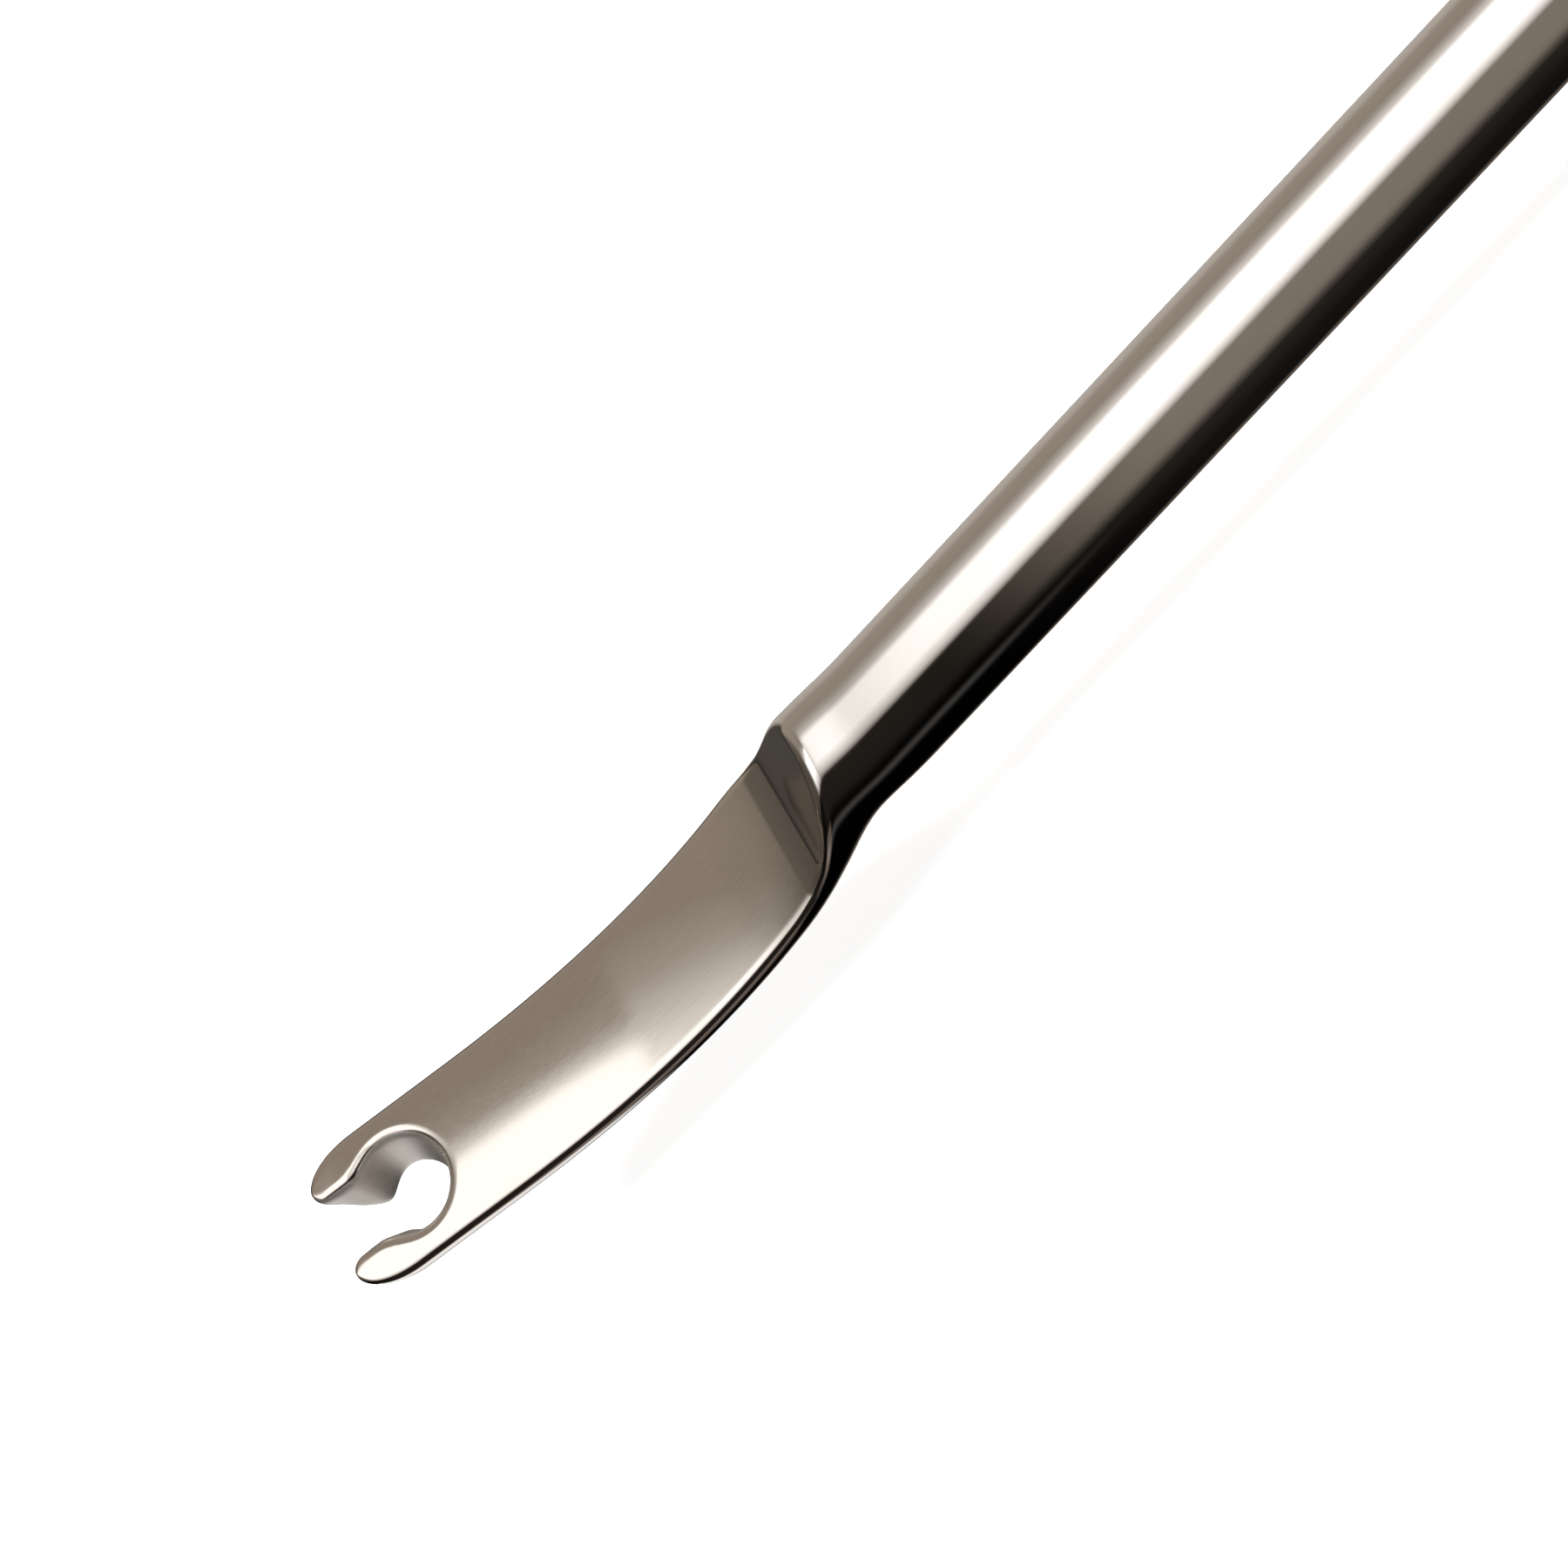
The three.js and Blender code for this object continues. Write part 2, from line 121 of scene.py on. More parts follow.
def rounded(outline, radius=0.15, steps=5, support=0.02):
    """An outline with each corner turned into an arc, and a point close to each end of the arc.

    The arc is the quadratic curve from radius before the corner to radius after it. A corner given as
    (x, r, size) has its own radius."""
    corners = np.array([point[:2] for point in outline], dtype=float)
    sizes = np.array([point[2] if len(point) > 2 else radius for point in outline])
    back, ahead = np.roll(corners, 1, 0) - corners, np.roll(corners, -1, 0) - corners
    back_length, ahead_length = np.hypot(*back.T), np.hypot(*ahead.T)
    sizes = np.minimum(sizes, 0.45 * np.minimum(back_length, ahead_length))
    near = corners + back * (sizes / back_length)[:, None]
    far = corners + ahead * (sizes / ahead_length)[:, None]
    t = np.linspace(0, 1, steps + 1)[None, :, None]
    arcs = near[:, None] * (1 - t) ** 2 + 2 * corners[:, None] * t * (1 - t) + far[:, None] * t ** 2
    before = near + back * (np.minimum(support, 0.04 * back_length) / back_length)[:, None]
    after = far + ahead * (np.minimum(support, 0.04 * ahead_length) / ahead_length)[:, None]
    return np.concatenate([before[:, None], arcs, after[:, None]], axis=1).reshape(-1, 2)


def filled(outline, longest, fine_zone=(0, 0), finest=0.2, outside_r=4.5):
    """The same outline with points added so that no step is longer than longest.

    In the zone of x, and further out than outside_r, no step is longer than finest."""
    following = np.roll(outline, -1, 0)
    middle = (outline + following)[:, 0] / 2
    in_zone = (middle > fine_zone[0]) & (middle < fine_zone[1]) & (outline[:, 1] > outside_r)
    limit = np.where(in_zone, finest, longest)
    counts = np.maximum(np.ceil(np.hypot(*(following - outline).T) / limit), 1).astype(int)
    start = np.repeat(np.arange(len(outline)), counts)
    step = np.arange(len(start)) - np.repeat(np.cumsum(counts) - counts, counts)
    share = (step / np.repeat(counts, counts))[:, None]
    return outline[start] * (1 - share) + following[start] * share


def carried_round(outline, around, shape=None):
    """Points and faces of an outline carried round the tool's axis: y = r cos a, z = r sin a.

    shape(x, r, a) may change the radius of any point, for a hexagon or a knurl."""
    turn = np.linspace(0, 2 * np.pi, around, endpoint=False)[None, :]
    x, r = np.broadcast_arrays(outline[:, :1], turn)[0], outline[:, 1:] + 0 * turn
    if shape is not None:
        r = shape(x, r, turn)
    points = np.stack([x, r * np.cos(turn), r * np.sin(turn)], axis=-1).reshape(-1, 3)
    return points, quads(len(outline), around, close_rows=True, close_columns=True)


# ---- blade ----
# Shape along the tongue in rod diameters. s runs along the bent centre line, y across it, n above it.
RADIUS = ROD_D / 2
TAIL_X = from_frame(blade_low[0])
TAIL_CHAMFER = 0.4
FACE_R = 6.02 * ROD_D
FACE_LOW_X = 2.22 * ROD_D
FACE_LOW_Z = -0.292 * ROD_D
FACE_STRAIGHT_X = 4.4 * ROD_D
RUNOUT_R = 1.25 * ROD_D
RUNOUT_END = 0.87 * ROD_D
RUNOUT_SOFT = 0.25 * ROD_D
LIP = RUNOUT_END - math.sqrt(RUNOUT_R ** 2 - (RUNOUT_R - RADIUS) ** 2)
TONGUE_W = 0.616 * ROD_D
TIP_W = 0.365 * ROD_D
ROUNDING = 0.52 * ROD_D
EDGE_WALL = 0.02 * ROD_D
BELLY = 0.47 * ROD_D
BELLY_TIP = 0.13 * ROD_D
HOLE_R = 0.378 * ROD_D
HOLE_X = 5.085 * ROD_D
KEYHOLE_TAPER = 0.3
NECK_W = 0.255 * ROD_D
NECK_BLEND = 0.1 * ROD_D
MOUTH_ROUNDING = 0.12 * ROD_D
CROWN = 0.018 * ROD_D
CROWN_FORK = 0.03 * ROD_D
EDGE_ROUNDING = 0.09 * ROD_D


def face_height(x):
    """Height of the hollow face: an arc round a centre above the tongue, then a straight along it."""
    arc_x = np.clip(x, -ROD_D, FACE_STRAIGHT_X)
    depth = np.sqrt(FACE_R ** 2 - (arc_x - FACE_LOW_X) ** 2)
    ahead = np.maximum(x - FACE_STRAIGHT_X, 0)
    return FACE_LOW_Z + FACE_R - depth + ahead * (arc_x - FACE_LOW_X) / depth


# The centre line runs along the rod's axis and sinks to the hollow face over the shoulder. A moving
# average takes the last kinks out of its slope.
EASE_STEPS = 121
line_x = np.linspace(TAIL_X - 1, TIP_X + 2, 9001)
line_z = smooth(-0.6 * ROD_D, 0.8 * ROD_D, line_x) * face_height(line_x)
ease = np.hanning(2 * EASE_STEPS + 1)
padded_z = np.pad(line_z, EASE_STEPS, mode="reflect", reflect_type="odd")
line_z = np.convolve(padded_z, ease / ease.sum(), mode="valid")
line_slope = np.gradient(line_z, line_x)
line_s = np.concatenate([[0], np.cumsum(np.hypot(np.diff(line_x), np.diff(line_z)))])
line_s -= np.interp(0, line_x, line_s)
TIP = float(np.interp(TIP_X - TIP_LEAN, line_x, line_s))
HOLE = float(np.interp(HOLE_X, line_x, line_s))
TAIL = float(np.interp(TAIL_X, line_x, line_s))


def half_width(s):
    """Half width along the centre line, widening at the shoulder and rounding in to the prongs' tips."""
    waist = mix(RADIUS, TONGUE_W, smooth(-0.15 * ROD_D, 1.3 * ROD_D, s))
    along = np.clip((s - TIP + ROUNDING) / ROUNDING, 0, 1)
    return TIP_W + (waist - TIP_W) * np.sqrt(1 - along ** 2.2)


def edge_wall(s):
    """Height of the short upright wall between face and belly."""
    return EDGE_WALL * smooth(-0.3 * ROD_D, 0.9 * ROD_D, s)


def belly_depth(s):
    """Depth of the rounded underside: the rod's radius, then the tongue's, thinning out to the tips."""
    full = mix(RADIUS, BELLY, smooth(0, 1.2 * ROD_D, s))
    return mix(full, BELLY_TIP, smooth(HOLE + 0.24 * ROD_D, TIP, s))


def face_crown(s, y):
    """The ground face's slight crown across the tongue, in millimetres."""
    crown = mix(CROWN, CROWN_FORK, smooth(2.6 * ROD_D, 4.2 * ROD_D, s))
    crown = crown * smooth(0.5 * ROD_D, 1.5 * ROD_D, s)
    return crown * (1 - (y / half_width(s)) ** 2)


def face_level(s, y):
    """The ground face above the centre line: the run-out's arc, eased at its end, and the crown across.

    It is where the face's points start from. settle then moves them onto blade_level."""
    ahead = (RUNOUT_END - s + np.hypot(RUNOUT_END - s, RUNOUT_SOFT)) / 2
    ahead = np.clip(ahead, 0, RUNOUT_R)
    return RUNOUT_R - np.sqrt(RUNOUT_R ** 2 - ahead ** 2) + face_crown(s, y)


def mouth_width(s):
    """Half width of the slot from neck to mouth, opening in a quarter ellipse at the tips."""
    along = np.clip((s - TIP + MOUTH_ROUNDING) / MOUTH_ROUNDING, 0, 1)
    return TIP_W - (TIP_W - NECK_W) * np.sqrt(1 - along ** 2)


def taper(s, n):
    """How far the keyhole's wall has come in at a height n.

    The keyhole narrows away from the face, but not at the tips."""
    return KEYHOLE_TAPER * np.minimum(n, 0) * (1 - smooth(TIP - 0.25 * ROD_D, TIP, s))


def keyhole_width(s, n):
    """Half width of the whole keyhole: the round hole's chord, or the slot where that is wider."""
    chord = np.sqrt(np.clip((HOLE_R + taper(s, n)) ** 2 - (s - HOLE) ** 2, 0, None))
    return np.where(s > HOLE, np.maximum(chord, mouth_width(s) + taper(s, n)), chord)


def soft_max(a, b, size):
    """The larger of a and b, with a parabola where they differ by less than size."""
    return np.maximum(a, b) + np.clip(size - np.abs(a - b), 0, None) ** 2 / (4 * size)


def blade_level(p):
    """Below 0 inside the finished blade: blank, face and keyhole joined with rounded edges."""
    s, y, n = p[..., 0], p[..., 1], p[..., 2]
    width, wall, belly = half_width(s), edge_wall(s), belly_depth(s)
    height = np.where(n > 0, RADIUS, belly)
    up = np.where(n > 0, n, np.minimum(n + wall, 0)) / height
    rho = np.sqrt((y / width) ** 2 + up ** 2) + 1e-9
    blank = (rho - 1) * rho / np.sqrt((y / width ** 2) ** 2 + (up / height) ** 2 + 1e-12)
    face = RUNOUT_R - np.hypot(np.maximum(RUNOUT_END - s, 0), RUNOUT_R - n + face_crown(s, y))
    hole = np.hypot(s - HOLE, y) - HOLE_R - taper(s, n)
    slot = np.where(s > HOLE, np.abs(y) - mouth_width(s) - taper(s, n), HOLE_R)
    keyhole = soft_max(-hole, -slot, NECK_BLEND)
    return soft_max(soft_max(blank, face, EDGE_ROUNDING), keyhole, EDGE_ROUNDING)


def settle(p, rounds=6, step=0.002):
    """Moves points square to the rounded surface until they lie on it, by Newton's method."""
    for _ in range(rounds):
        rises = [blade_level(p + step * e) - blade_level(p - step * e) for e in np.eye(3)]
        slope = np.stack(rises, axis=-1)
        slope /= 2 * step
        move = (blade_level(p) / np.maximum((slope ** 2).sum(-1), 0.25))[..., None] * slope
        p = p - np.clip(move, -0.1, 0.1)
    return p


def bent(p):
    """From along, across and above the centre line to x, y, z."""
    s, y, n = p[..., 0], p[..., 1], p[..., 2]
    slope = np.interp(s, line_s, line_slope)
    length = np.sqrt(1 + slope ** 2)
    x = np.interp(s, line_s, line_x) - n * slope / length
    return np.stack([x, y, np.interp(s, line_s, line_z) + n / length], axis=-1)


def blade_stations():
    """Places of the sections, crowded where the outline turns: the lip, the hole's root and the tips."""
    turn = np.linspace(0, np.pi / 2, 44)
    lip = RUNOUT_END - np.sqrt(RUNOUT_R ** 2 - (RUNOUT_R - RADIUS * np.cos(turn[:-1])) ** 2)
    rod = LIP - np.geomspace(0.01, LIP - TAIL - TAIL_CHAMFER, 60)[::-1]
    tongue = np.linspace(RUNOUT_END, HOLE - HOLE_R - 0.4, 90)
    root = HOLE - HOLE_R - np.geomspace(0.4, 0.008, 14)[1:]
    ring = HOLE - HOLE_R * np.cos(np.linspace(0, 0.74 * np.pi, 70))
    prong = np.linspace(ring[-1], TIP - MOUTH_ROUNDING, 14)[1:-1]
    tip = TIP - MOUTH_ROUNDING * np.cos(turn[::2])
    return np.concatenate([rod, lip, tongue, root, ring, prong, tip, [TIP]])


def fork_blade(material):
    """Half of the blade as three grids, body, ground face and keyhole wall, and their mirror image.

    The body's sections run from the keyhole's lower rim, or the middle of the belly, round the outside
    to the face's edge: an ellipse for the belly, an upright wall and an ellipse for the rod's crown."""
    s = blade_stations()[:, None]
    t = crowd_ends(56)[None, :]
    width, wall, belly, gap = half_width(s), edge_wall(s), belly_depth(s), keyhole_width(s, 0)
    low_gap = keyhole_width(s, -wall - belly * np.sqrt(1 - np.minimum(gap / width, 1) ** 2))
    level = np.where(s < LIP, RADIUS, np.minimum(face_level(s, width), RADIUS))
    inner = np.arcsin(np.clip(low_gap / width, 0, 1))
    crown_turn = np.arcsin(level / RADIUS)
    wall_turn = wall / width
    turn = t * (np.pi / 2 - inner + wall_turn + crown_turn)
    belly_part = inner + np.minimum(turn, np.pi / 2 - inner)
    wall_part = np.clip(turn - np.pi / 2 + inner, 0, wall_turn) * width
    crown_part = np.clip(turn - np.pi / 2 + inner - wall_turn, 0, crown_turn)
    across = width * np.sin(belly_part) * np.cos(crown_part)
    above = -wall - belly * np.cos(belly_part) + wall_part + RADIUS * np.sin(crown_part)
    body = settle(np.stack(np.broadcast_arrays(s, across, above), axis=-1))

    cut = s[:, 0] >= LIP
    s_face, edge = s[cut], (width * np.cos(crown_turn))[cut]
    u = crowd_ends(44)[None, :]
    y_face = edge + (gap[cut] - edge) * u
    face = settle(np.stack(np.broadcast_arrays(s_face, y_face, face_level(s_face, y_face)), axis=-1))

    holed = s[:, 0] >= HOLE - HOLE_R - 1e-9
    s_wall, gap_wall = s[holed], gap[holed]
    top, foot = face_level(s_wall, gap_wall), (-wall - belly * np.cos(inner))[holed]
    n_wall = mix(top, foot, crowd_ends(30)[None, :])
    y_wall = keyhole_width(s_wall, n_wall)
    y_wall[:, -1] = low_gap[holed][:, 0]
    hole_wall = settle(np.stack(np.broadcast_arrays(s_wall, y_wall, n_wall), axis=-1))

    tail = body[:1].repeat(3, axis=0)
    tail[:, :, 0] = TAIL + np.array([[0], [0], [TAIL_CHAMFER]])
    tail[:, :, 1:] *= np.array([0, 1 - TAIL_CHAMFER / RADIUS, 1])[:, None, None]
    body = np.concatenate([tail, body])

    points, faces, marks = [], [], []
    first = 0
    for grid, ground in ((body, 0), (face, 1), (hole_wall, -1)):
        for side in (1, -1):
            points.append((bent(grid) * [1, side, 1]).reshape(-1, 3))
            faces.append(quads(*grid.shape[:2], first=first)[:, ::side])
            marks.append(np.full(grid.shape[0] * grid.shape[1], float(ground)))
            first += grid.shape[0] * grid.shape[1]
    points, faces, marks = np.concatenate(points), np.concatenate(faces), np.concatenate(marks)
    return make_piece("fork_blade_ground", points, faces, "fork_blade", "blade",
                      material, marks=marks)


# ---- chuck ----
NUT_REAR_X, NUT_NOSE_X = from_frame(nut_low[0]), from_frame(nut_high[0])
NUT_R = (nut_high[2] - nut_low[2]) / 2 / MM
KNURL_TEETH = 36
KNURL_DEPTH = 0.25
KNURL_REAR = (-57.6, -57.2)
KNURL_FRONT = (-49.3, -48.7)
KNURL_FOOT = (4.5, 4.8)


def nut_knurl(x, r, turn):
    """Straight knurl: the radius drops by a rounded wave that fades out at both ends of the band."""
    band = smooth(*KNURL_REAR, x) * (1 - smooth(*KNURL_FRONT, x)) * smooth(*KNURL_FOOT, r)
    wave = np.abs(np.sin(KNURL_TEETH * turn / 2)) ** 0.8
    return r - KNURL_DEPTH * band * (1 - wave)


def chuck_nut(material):
    """The nut's outside from the rear over the knurl to the cone's nose, then its bore back, turned."""
    outline = [
        (NUT_REAR_X, 4.2, 0.1), (NUT_REAR_X, 4.6, 0.2), (NUT_REAR_X + 0.45, NUT_R, 0.15),
        (-49.0, NUT_R, 0.2), (-48.4, 4.55, 0.15), (-47.9, 4.55, 0.15), (-47.7, 4.7, 0.1),
        (-44.6, 3.45, 0.3), (NUT_NOSE_X, 3.0, 0.25), (NUT_NOSE_X, 2.3, 0.15), (-46.3, 2.3, 0.05),
        (-46.3, 3.7, 0.05), (-47.1, 4.4, 0.05), (-50.7, 4.4, 0.05), (-51.0, 4.2, 0.05),
    ]
    points, faces = carried_round(filled(rounded(outline), 0.3), KNURL_TEETH * 10, nut_knurl)
    return make_piece("chuck_nut_turned", points, faces, "chuck_nut", "nut",
                      material)


def thrust_ring(material):
    """A ring whose cone closes the collet: its section carried round the axis."""
    low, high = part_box("thrust_ring")
    rear, front = from_frame(low[0]), from_frame(high[0])
    outline = [(rear, 3.75), (rear, 4.1), (front - 0.9, 4.1), (front, 3.4), (front, 3.1)]
    points, faces = carried_round(rounded(outline, 0.08), 96)
    return make_piece("thrust_ring_ground", points, faces, "thrust_ring", "thrust_ring",
                      material)


# ---- barrel ----
barrel_low, barrel_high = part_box("barrel")
BARREL_REAR_X, BARREL_FRONT_X = from_frame(barrel_low[0]), from_frame(barrel_high[0])
COLLARS = ((-59.6, -67.6), (-122.0, -130.0))
GRIP_R = 4.9
GROOVE_R = 4.2
GROOVE_W = 2.6
RING_NODES = ["grip_ring_%d" % number for number in range(1, 7)]
ring_boxes = [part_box(node) for node in RING_NODES]
RING_PLACES = [from_frame((low[0] + high[0]) / 2) for low, high in ring_boxes]
DIAMOND_TEETH = 42
DIAMOND_DEPTH = 0.16
DIAMOND_ZONE = (-120.6, -107.6)
DIAMOND_FADE = 0.5
COLLAR_CHAMFER = 0.95
SPIGOT_R = 3.9
BORE_R = 3.2


def barrel_shape(x, r, turn):
    """Hex collars and the diamond knurl.

    A collar's radius is the flat's distance over the cosine of the angle from the flat's middle, and
    the knurl is the product of two screw-cut waves that cross."""
    from_flat = (turn + np.pi / 6 - np.pi / 2) % (np.pi / 3) - np.pi / 6
    hexagon = HEX_FLATS / 2 / np.cos(from_flat)
    collar = -soft_max(-r, -hexagon, 0.12)
    r = np.where(r > GRIP_R + 0.05, np.minimum(collar, r), r)
    lead = DIAMOND_TEETH * x / GRIP_R
    right_hand = np.abs(np.sin((DIAMOND_TEETH * turn + lead) / 2))
    left_hand = np.abs(np.sin((DIAMOND_TEETH * turn - lead) / 2))
    wave = right_hand * left_hand
    rear, front = DIAMOND_ZONE
    zone = smooth(rear, rear + DIAMOND_FADE, x) * (1 - smooth(front - DIAMOND_FADE, front, x))
    return r - DIAMOND_DEPTH * zone * (1 - wave ** 0.6) * (r > GRIP_R - 0.1)


def barrel_outline():
    """The outside from the rear to the spigot, then the bore back: collars as tall as the hex corners."""
    corner = HEX_FLATS / math.sqrt(3)
    side = corner - COLLAR_CHAMFER
    outline = [(BARREL_REAR_X, 3.8, 0.2), (BARREL_REAR_X, 4.35, 0.3), (BARREL_REAR_X + 1.1, GRIP_R, 0.4)]
    edges = []
    for front, rear in COLLARS:
        edges.append([(rear, GRIP_R, 0.1), (rear, side, 0.1), (rear + COLLAR_CHAMFER, corner, 0.05),
                      (front - COLLAR_CHAMFER, corner, 0.05), (front, side, 0.1)])
    outline += edges[1] + [(COLLARS[1][0], GRIP_R, 0.1)]
    for middle in sorted(RING_PLACES):
        low, high = middle - GROOVE_W / 2, middle + GROOVE_W / 2
        outline += [(low, GRIP_R, 0.12), (low, GROOVE_R, 0.1)]
        outline += [(high, GROOVE_R, 0.1), (high, GRIP_R, 0.12)]
    outline += edges[0] + [(COLLARS[0][0], SPIGOT_R, 0.1), (BARREL_FRONT_X - 0.4, SPIGOT_R, 0.1)]
    outline += [(BARREL_FRONT_X, 3.5, 0.1), (BARREL_FRONT_X, BORE_R, 0.1)]
    outline += [(-126.0, BORE_R, 0.1), (-126.0, 3.8, 0.1)]
    return outline


def barrel(material):
    """The barrel's outline, finely divided under the diamond knurl, carried round and shaped."""
    fine = filled(rounded(barrel_outline(), steps=3), 3.0, DIAMOND_ZONE, 0.2)
    points, faces = carried_round(fine, DIAMOND_TEETH * 6, barrel_shape)
    return make_piece("barrel_turned", points, faces, "barrel", "handle",
                      material)


# ---- rubber rings, stop screw and plug ----
def grip_ring(node, middle, material):
    """A rubber ring with a flat foot, rounded shoulders and two shallow grooves round its crown."""
    foot, top = GROOVE_R + 0.06, GRIP_R + 0.25
    outline = [(-1.22, foot, 0.1), (-1.22, top - 0.35, 0.3), (-0.75, top, 0.25), (-0.5, top, 0.08),
               (-0.35, top - 0.12, 0.08), (-0.2, top, 0.08), (0.2, top, 0.08), (0.35, top - 0.12, 0.08),
               (0.5, top, 0.08), (0.75, top, 0.25), (1.22, top - 0.35, 0.3), (1.22, foot, 0.1)]
    shifted = [(middle + x, r, size) for x, r, size in outline]
    points, faces = carried_round(rounded(shifted), 144)
    return make_piece(node + "_moulded", points, faces, node, "handle",
                      material)


def o_ring(node, body, material):
    """A torus that fills the CAD ring's box: a circle carried round the axis."""
    low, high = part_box(node)
    section = (high[0] - low[0]) / 2 / MM
    middle, centre = from_frame((low[0] + high[0]) / 2), (high[2] - low[2]) / 2 / MM - section
    turn = np.linspace(0, 2 * np.pi, 24, endpoint=False)
    outline = np.stack([middle + section * np.cos(turn), centre - section * np.sin(turn)], axis=-1)
    points, faces = carried_round(outline, 128)
    return make_piece(node + "_moulded", points, faces, node, body,
                      material)


PLUG_SLOT_W = 1.2
PLUG_SLOT_DEPTH = 1.6
PLUG_SLOT_REACH = 8.0
PLUG_STEM_R = 3.5


def end_plug(material):
    """The plug's crowned end, its groove and stem carried round the axis, with a coin slot cut across."""
    low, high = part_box("end_plug")
    rear, front = from_frame(low[0]), from_frame(high[0])
    head = BARREL_REAR_X - 0.06
    outline = [(rear, 0.0, 0.0), (rear, 2.4, 1.2), (rear + 0.6, 3.9, 0.8), (rear + 2.4, 4.7, 0.6),
               (head - 0.45, 4.7, 0.1), (head, 4.25, 0.1), (head, PLUG_STEM_R, 0.05),
               (-134.6, PLUG_STEM_R, 0.05), (-134.6, 2.6, 0.1), (-133.4, 2.6, 0.1),
               (-133.4, PLUG_STEM_R, 0.05), (front - 0.5, PLUG_STEM_R, 0.1), (front, 3.0, 0.1),
               (front, 0.0, 0.0)]
    fine = filled(rounded(outline), 0.35)
    fine[:, 1] = np.maximum(fine[:, 1], 0)
    points, faces = carried_round(fine, 128)
    plug = make_piece("end_plug_turned", points, faces, "end_plug", "plug",
                      material)
    cutter_mesh = bpy.data.meshes.new("coin_slot")
    corner = np.array([(x, y, z) for x in (-1, 1) for y in (-1, 1) for z in (-1, 1)], dtype=float)
    size = np.array([PLUG_SLOT_DEPTH, PLUG_SLOT_REACH, PLUG_SLOT_W / 2])
    sides = [(0, 1, 3, 2), (4, 6, 7, 5), (0, 4, 5, 1), (2, 3, 7, 6), (0, 2, 6, 4), (1, 5, 7, 3)]
    cutter_mesh.from_pydata((corner * size + [rear, 0, 0]) * MM + START, [], sides)
    cutter = bpy.data.objects.new("coin_slot", cutter_mesh)
    bpy.context.scene.collection.objects.link(cutter)
    cut = plug.modifiers.new("slot", "BOOLEAN")
    cut.operation, cut.solver, cut.object = "DIFFERENCE", "EXACT", cutter
    bpy.context.view_layer.update()
    slotted = plug.evaluated_get(bpy.context.evaluated_depsgraph_get())
    finished = bpy.data.meshes.new_from_object(slotted)
    plug.modifiers.clear()
    plug.data = finished
    finished.shade_smooth()
    finished.set_sharp_from_angle(angle=math.radians(35))
    bpy.data.objects.remove(cutter)
    return plug


# ---- materials ----
def linear(code):
    """An sRGB hex colour as linear red, green, blue and alpha."""
    values = np.array([int(code[i:i + 2], 16) for i in (1, 3, 5)]) / 255
    return [*np.where(values <= 0.04045, values / 12.92, ((values + 0.055) / 1.055) ** 2.4), 1.0]


def add(tree, kind, settings=None, **links):
    """Adds a node, sets its properties and sockets, and links its inputs from other nodes' outputs."""
    node = tree.nodes.new("ShaderNode" + kind)
    for name, value in (settings or {}).items():
        if isinstance(name, int) or name in node.inputs:
            node.inputs[name].default_value = value
        else:
            setattr(node, name, value)
    for name, source in links.items():
        index = name.replace("_", " ")
        socket = node.inputs[int(index[1:])] if index[1:].isdigit() else node.inputs[index]
        tree.links.new(source, socket)
    return node


def start_material(name):
    """A material with its Principled shader, and Object coordinates in millimetres."""
    material = bpy.data.materials.new(name)
    material.use_nodes = True
    tree = material.node_tree
    shader = tree.nodes["Principled BSDF"]
    place = add(tree, "TexCoord").outputs["Object"]
    in_mm = add(tree, "Mapping", {"Scale": (1000, 1000, 1000)}, Vector=place).outputs["Vector"]
    return material, tree, shader, in_mm


# Moves the noise's lattice off the tool's axis, where its planes would show as lines.
NOISE_SHIFT = (3.1, 5.37, 7.71)


def stretched_noise(tree, place, grain, detail=3.0):
    """Noise with its grain sizes along x, y and z in millimetres."""
    settings = {"Scale": tuple(1 / size for size in grain), "Location": NOISE_SHIFT}
    spread = add(tree, "Mapping", settings, Vector=place).outputs[0]
    return add(tree, "TexNoise", {"Scale": 1.0, "Detail": detail}, Vector=spread).outputs["Fac"]


def between(tree, value, low, high, low_in=0.3, high_in=0.7):
    """A number moved from low_in..high_in to low..high."""
    settings = {"From Min": low_in, "From Max": high_in, "To Min": low, "To Max": high}
    return add(tree, "MapRange", settings, Value=value).outputs[0]


def colour_between(tree, factor, first, second):
    blend = add(tree, "Mix", {"data_type": "RGBA"}, i0=factor)
    blend.inputs[6].default_value, blend.inputs[7].default_value = linear(first), linear(second)
    return blend.outputs[2]


def wire(tree, shader, **sources):
    for name, source in sources.items():
        tree.links.new(source, shader.inputs[name.replace("_", " ")])


def bump(tree, height, strength, distance_mm):
    return add(tree, "Bump", {"Strength": strength, "Distance": distance_mm * MM}, Height=height).outputs[0]


